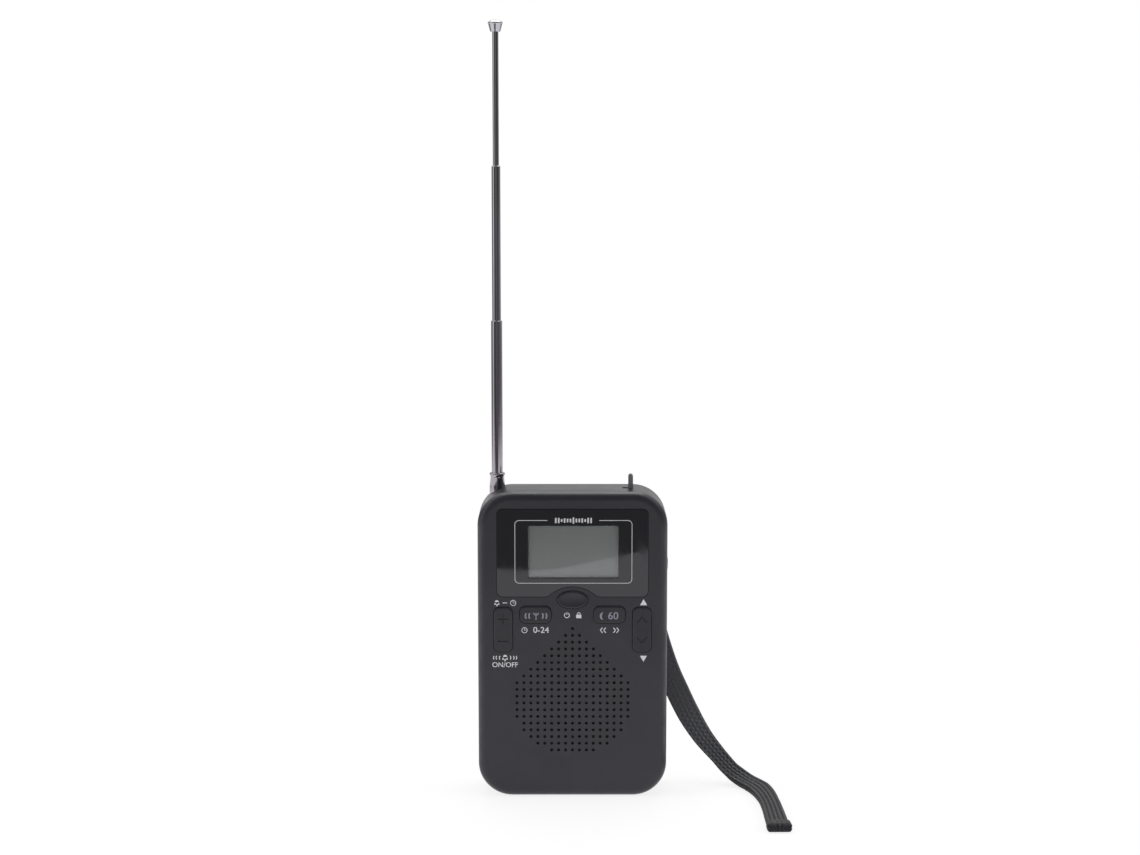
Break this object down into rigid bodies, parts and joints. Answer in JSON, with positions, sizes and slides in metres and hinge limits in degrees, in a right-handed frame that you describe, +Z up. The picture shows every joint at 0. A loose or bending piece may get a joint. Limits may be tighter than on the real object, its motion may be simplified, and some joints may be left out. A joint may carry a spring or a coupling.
{
  "type": "tabletop radio",
  "caption": "Upright pocket-size digital radio with clock display, keys, round-hole speaker grille, push-in telescopic antenna, slide switch, earphone jack and webbing wrist strap.",
  "frame": {"origin": "middle of the flat base that the radio stands on", "axes": "+Z up along the case and its antenna, -Y out of the front with the display and grille, +X to the right seen from the front"},
  "size_m": [0.103, 0.0619, 0.2616],
  "materials": {
    "case_plastic": "fine matte charcoal",
    "key_plastic": "satin charcoal",
    "lens": "gloss black",
    "liquid_crystal": "grey display",
    "white_plastic": "satin",
    "rubber_strip": "soft",
    "board": "solder mask",
    "black_plastic": "satin",
    "steel": "plated",
    "dark_screw": "blackened",
    "lever_plastic": "satin grey",
    "ferrite": "fired",
    "copper_wire": "enamelled",
    "magnet": "coated",
    "cone_film": "film",
    "speaker_cloth": "fine cloth",
    "cell_jacket": "printed jacket",
    "plated_contact": "nickel",
    "chrome": "polished",
    "wire_jacket": "pvc",
    "webbing": "woven nylon"
  },
  "bodies": {
    "case": {"front_shell": "case_plastic", "rear_shell": "case_plastic", "display_lens": "lens", "lcd_panel": "liquid_crystal", "lcd_holder": "white_plastic", "zebra_strip": "rubber_strip", "main_board": "board", "board_components": "black_plastic", "tact_switches": "black_plastic", "slide_switch": "steel", "earphone_jack": "black_plastic", "ferrite_bar": "ferrite", "ferrite_coil": "copper_wire", "speaker_frame": "steel", "speaker_magnet": "magnet", "speaker_cone": "cone_film", "grille_cloth": "speaker_cloth", "battery_cell_left": "cell_jacket", "battery_cell_right": "cell_jacket", "battery_springs": "plated_contact", "battery_plates": "plated_contact", "case_screws": "dark_screw", "board_screws": "steel", "antenna_mast": "chrome", "antenna_screw": "steel", "speaker_wires": "wire_jacket", "battery_wires": "wire_jacket", "antenna_wire": "wire_jacket", "strap_pin": "steel", "wrist_strap": "webbing"},
    "battery_door": {"battery_door": "case_plastic"},
    "switch_lever": {"switch_lever": "lever_plastic"},
    "band_key": {"band_key": "key_plastic"},
    "power_key": {"power_key": "key_plastic"},
    "sleep_key": {"sleep_key": "key_plastic"},
    "volume_rocker": {"volume_rocker": "key_plastic"},
    "tuning_rocker": {"tuning_rocker": "key_plastic"},
    "antenna_lower": {"antenna_lower_tube": "chrome"},
    "antenna_middle": {"antenna_middle_tube": "chrome"},
    "antenna_tip": {"antenna_tip_rod": "chrome", "antenna_knob": "chrome"}
  },
  "joints": [
    {"name": "antenna_lower_slide", "type": "slide", "parent": "case", "child": "antenna_lower", "axis": [0, 0, -1], "range_m": [0, 0.052]},
    {"name": "antenna_middle_slide", "type": "slide", "parent": "antenna_lower", "child": "antenna_middle", "axis": [0, 0, -1], "range_m": [0, 0.052]},
    {"name": "antenna_tip_slide", "type": "slide", "parent": "antenna_middle", "child": "antenna_tip", "axis": [0, 0, -1], "range_m": [0, 0.0442]},
    {"name": "lever_slide", "type": "slide", "parent": "case", "child": "switch_lever", "axis": [-1, 0, 0], "range_m": [0, 0.0018]},
    {"name": "power_press", "type": "slide", "parent": "case", "child": "power_key", "axis": [0, 1, 0], "range_m": [0, 0.0004], "stiffness_N_per_m": 1000},
    {"name": "band_press", "type": "slide", "parent": "case", "child": "band_key", "axis": [0, 1, 0], "range_m": [0, 0.0004], "stiffness_N_per_m": 1000},
    {"name": "sleep_press", "type": "slide", "parent": "case", "child": "sleep_key", "axis": [0, 1, 0], "range_m": [0, 0.0004], "stiffness_N_per_m": 1000},
    {"name": "volume_rock", "type": "hinge", "parent": "case", "child": "volume_rocker", "pos_m": [-0.0234, -0.00795, 0.0582], "axis": [1, 0, 0], "range_deg": [-2.5, 2.5], "stiffness_Nm_per_rad": 0.05},
    {"name": "tuning_rock", "type": "hinge", "parent": "case", "child": "tuning_rocker", "pos_m": [0.0234, -0.00795, 0.0582], "axis": [1, 0, 0], "range_deg": [-2.5, 2.5], "stiffness_Nm_per_rad": 0.05},
    {"name": "door_hinge", "type": "hinge", "parent": "case", "child": "battery_door", "pos_m": [0, 0.0097, 0.0063], "axis": [-1, 0, 0], "range_deg": [0, 75]}
  ]
}
